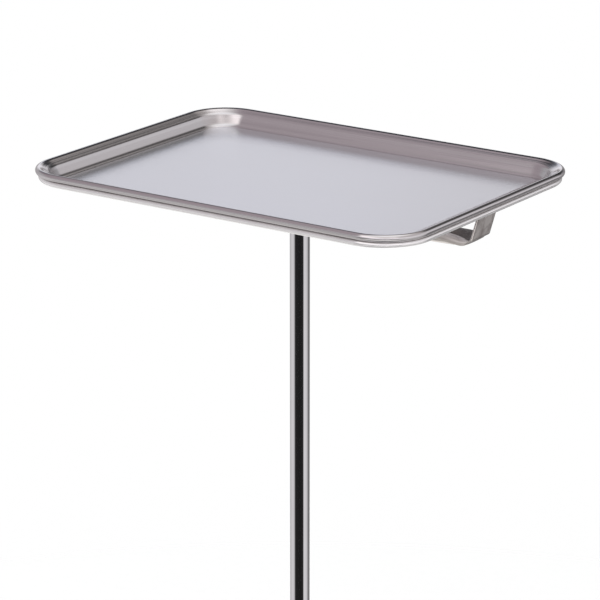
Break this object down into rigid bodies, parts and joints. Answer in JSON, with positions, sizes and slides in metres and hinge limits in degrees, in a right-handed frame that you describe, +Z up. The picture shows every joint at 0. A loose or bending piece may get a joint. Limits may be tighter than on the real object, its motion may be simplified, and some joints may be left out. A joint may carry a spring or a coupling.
{
  "type": "instrument stand",
  "caption": "Mobile instrument stand: lift-off rimmed steel tray on a rod frame and cross-arm, telescoping post with a screw lock, H-shaped tube base on swivel casters.",
  "frame": {"origin": "on the column axis at floor level", "axes": "+Z up; X along the tray's long side; -Y is the side the lock knob is on"},
  "size_m": [0.54, 0.4642, 1.2142],
  "materials": {
    "tray_steel": "satin, fine brushed along the length",
    "polished_rod": "bright polished stainless rod",
    "brushed_arm": "coarse brushed tube",
    "weld_metal": "dressed weld",
    "brushed_steel": "brushed stainless",
    "polished_post": "mirror polished tube",
    "zinc_steel": "zinc plated",
    "black_steel": "black oxide",
    "black_plastic": "moulded, fine texture",
    "nylon": "natural nylon",
    "brass_pad": "turned",
    "buffer_rubber": "matte",
    "grey_plastic": "moulded",
    "grey_tyre": "thermoplastic rubber"
  },
  "bodies": {
    "base": {"outer_column": "brushed_steel", "column_collar": "brushed_steel", "collar_bush": "nylon", "collar_set_screws": "black_steel", "column_bottom_plug": "zinc_steel", "column_bolt": "zinc_steel", "column_washer": "zinc_steel", "column_stop_buffer": "buffer_rubber", "column_flange": "brushed_steel", "base_cross_tube": "brushed_steel", "foot_tube_left": "brushed_steel", "foot_tube_right": "brushed_steel", "foot_end_caps": "black_plastic", "caster_nuts": "zinc_steel", "caster_stems": "zinc_steel"},
    "post_guide": {"post_guide_bush": "nylon"},
    "head": {"inner_post": "polished_post", "post_retaining_ring": "zinc_steel", "post_end_plug": "nylon", "post_top_plug": "zinc_steel", "arm_saddle": "brushed_steel", "saddle_washer": "zinc_steel", "head_bolt": "zinc_steel", "cross_arm": "brushed_arm", "tray_frame_loop": "polished_rod", "frame_welds": "weld_metal"},
    "tray": {"instrument_tray": "tray_steel"},
    "lock_pad": {"pressure_pad": "brass_pad"},
    "lock_handle": {"lock_screw": "zinc_steel", "lock_knob": "black_plastic"},
    "caster_fl_swivel": {"caster_fl_yoke": "zinc_steel", "caster_fl_axle": "zinc_steel", "caster_fl_brake_pin": "zinc_steel"},
    "caster_fl_wheel": {"caster_fl_wheel_hub": "grey_plastic", "caster_fl_tyre": "grey_tyre"},
    "caster_fl_brake": {"caster_fl_brake_lever": "black_plastic"},
    "caster_fr_swivel": {"caster_fr_yoke": "zinc_steel", "caster_fr_axle": "zinc_steel"},
    "caster_fr_wheel": {"caster_fr_wheel_hub": "grey_plastic", "caster_fr_tyre": "grey_tyre"},
    "caster_rr_swivel": {"caster_rr_yoke": "zinc_steel", "caster_rr_axle": "zinc_steel", "caster_rr_brake_pin": "zinc_steel"},
    "caster_rr_wheel": {"caster_rr_wheel_hub": "grey_plastic", "caster_rr_tyre": "grey_tyre"},
    "caster_rr_brake": {"caster_rr_brake_lever": "black_plastic"},
    "caster_rl_swivel": {"caster_rl_yoke": "zinc_steel", "caster_rl_axle": "zinc_steel"},
    "caster_rl_wheel": {"caster_rl_wheel_hub": "grey_plastic", "caster_rl_tyre": "grey_tyre"}
  },
  "joints": [
    {"name": "height_slide", "type": "slide", "parent": "base", "child": "post_guide", "axis": [0, 0, 1], "range_m": [-0.365, 0.06]},
    {"name": "head_swivel", "type": "hinge", "parent": "post_guide", "child": "head", "pos_m": [0, 0, 0.6], "axis": [0, 0, 1], "continuous": true},
    {"name": "tray_lift", "type": "slide", "parent": "head", "child": "tray", "axis": [0, 0, 1], "range_m": [0, 0.1]},
    {"name": "lock_pad_travel", "type": "slide", "parent": "base", "child": "lock_pad", "axis": [0, -1, 0], "range_m": [0, 0.00226]},
    {"name": "lock_knob_turn", "type": "hinge", "parent": "lock_pad", "child": "lock_handle", "pos_m": [0, -0.045, 0.616], "axis": [0, -1, 0], "range_deg": [0, 540]},
    {"name": "caster_fl_swivel", "type": "hinge", "parent": "base", "child": "caster_fl_swivel", "pos_m": [-0.215, -0.175, 0.062], "axis": [0, 0, 1], "continuous": true},
    {"name": "caster_fl_roll", "type": "hinge", "parent": "caster_fl_swivel", "child": "caster_fl_wheel", "pos_m": [-0.22184, -0.19379, 0.025], "axis": [0.9397, -0.342, 0], "continuous": true},
    {"name": "caster_fl_brake", "type": "hinge", "parent": "caster_fl_swivel", "child": "caster_fl_brake", "pos_m": [-0.22441, -0.20084, 0.0555], "axis": [0.9397, -0.342, 0], "range_deg": [0, 9]},
    {"name": "caster_fr_swivel", "type": "hinge", "parent": "base", "child": "caster_fr_swivel", "pos_m": [0.215, -0.175, 0.062], "axis": [0, 0, 1], "continuous": true},
    {"name": "caster_fr_roll", "type": "hinge", "parent": "caster_fr_swivel", "child": "caster_fr_wheel", "pos_m": [0.19687, -0.18345, 0.025], "axis": [0.4226, -0.9063, 0], "continuous": true},
    {"name": "caster_rr_swivel", "type": "hinge", "parent": "base", "child": "caster_rr_swivel", "pos_m": [0.215, 0.175, 0.062], "axis": [0, 0, 1], "continuous": true},
    {"name": "caster_rr_roll", "type": "hinge", "parent": "caster_rr_swivel", "child": "caster_rr_wheel", "pos_m": [0.22184, 0.19379, 0.025], "axis": [-0.9397, 0.342, 0], "continuous": true},
    {"name": "caster_rr_brake", "type": "hinge", "parent": "caster_rr_swivel", "child": "caster_rr_brake", "pos_m": [0.22441, 0.20084, 0.0555], "axis": [-0.9397, 0.342, 0], "range_deg": [0, 9]},
    {"name": "caster_rl_swivel", "type": "hinge", "parent": "base", "child": "caster_rl_swivel", "pos_m": [-0.215, 0.175, 0.062], "axis": [0, 0, 1], "continuous": true},
    {"name": "caster_rl_roll", "type": "hinge", "parent": "caster_rl_swivel", "child": "caster_rl_wheel", "pos_m": [-0.19687, 0.18345, 0.025], "axis": [-0.4226, 0.9063, 0], "continuous": true}
  ],
  "couplings": [
    {"joint": "lock_pad_travel", "follows": "lock_knob_turn", "m_per_rad": 0.00023873}
  ]
}
